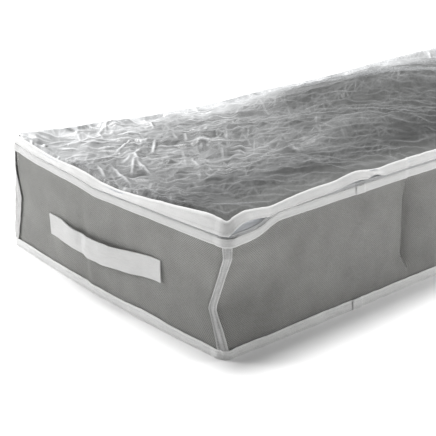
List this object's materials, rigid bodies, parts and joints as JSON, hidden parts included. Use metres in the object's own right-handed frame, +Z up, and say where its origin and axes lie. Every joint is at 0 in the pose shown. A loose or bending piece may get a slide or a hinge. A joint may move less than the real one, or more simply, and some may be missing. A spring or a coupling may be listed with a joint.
{
  "type": "under bed storage box",
  "caption": "Long, low soft fabric storage box with taped seams, a clear film lid that opens on a zip round the front and ends, and a strap handle on each end.",
  "frame": {"origin": "centre of the underside of the base, on the surface that the box rests on", "axes": "+X along the length, -Y towards the zipped front, +Z up; the lid is hinged at +Y"},
  "size_m": [1.0846, 0.4562, 0.213],
  "materials": {
    "grey_fabric": "matt non-woven cloth, embossed with fine dots",
    "white_tape": "matt folded tape",
    "white_strap": "matt folded strap",
    "zip_tape": "fine woven tape",
    "zip_coil": "nylon coil",
    "clear_film": "clear wrinkled film",
    "white_enamel": "enamel"
  },
  "bodies": {
    "box": {"bottom_panel": "grey_fabric", "front_panel": "grey_fabric", "back_panel": "grey_fabric", "left_end_panel": "grey_fabric", "right_end_panel": "grey_fabric", "bottom_binding": "white_tape", "rim_binding": "white_tape", "corner_binding_front_left": "white_tape", "corner_binding_back_left": "white_tape", "corner_binding_front_right": "white_tape", "corner_binding_back_right": "white_tape", "zip_tape_lower": "zip_tape", "zip_coil_lower": "zip_coil", "zip_end_tab_left": "white_tape", "zip_end_tab_right": "white_tape", "hinge_strip": "white_tape", "left_handle_tab_front": "white_strap", "left_handle_tab_back": "white_strap", "right_handle_tab_front": "white_strap", "right_handle_tab_back": "white_strap"},
    "lid": {"zip_coil_upper": "zip_coil", "zip_tape_upper": "zip_tape", "lid_binding": "white_tape", "lid_window": "clear_film"},
    "left_handle": {"left_handle_grip": "white_strap"},
    "right_handle": {"right_handle_grip": "white_strap"},
    "slider_left": {"zip_slider_left": "white_enamel"},
    "slider_right": {"zip_slider_right": "white_enamel"},
    "pull_left": {"zip_pull_left": "white_enamel"},
    "pull_right": {"zip_pull_right": "white_enamel"}
  },
  "joints": [
    {"name": "lid_hinge", "type": "hinge", "parent": "box", "child": "lid", "pos_m": [0, 0.2273, 0.1645], "axis": [-1, 0, 0], "range_deg": [0, 180]},
    {"name": "left_handle_lift", "type": "hinge", "parent": "box", "child": "left_handle", "pos_m": [-0.5253, 0, 0.0875], "axis": [0, 1, 0], "range_deg": [0, 80]},
    {"name": "right_handle_lift", "type": "hinge", "parent": "box", "child": "right_handle", "pos_m": [0.5253, 0, 0.0875], "axis": [0, -1, 0], "range_deg": [0, 80]},
    {"name": "slider_left_run", "type": "slide", "parent": "box", "child": "slider_left", "axis": [-1, 0, 0], "range_m": [0, 0.482]},
    {"name": "slider_right_run", "type": "slide", "parent": "box", "child": "slider_right", "axis": [1, 0, 0], "range_m": [0, 0.482]},
    {"name": "pull_left_swing", "type": "hinge", "parent": "slider_left", "child": "pull_left", "pos_m": [-0.009, -0.2278, 0.1629], "axis": [-1, 0, 0], "range_deg": [0, 170]},
    {"name": "pull_right_swing", "type": "hinge", "parent": "slider_right", "child": "pull_right", "pos_m": [0.009, -0.2278, 0.1629], "axis": [-1, 0, 0], "range_deg": [0, 170]}
  ]
}
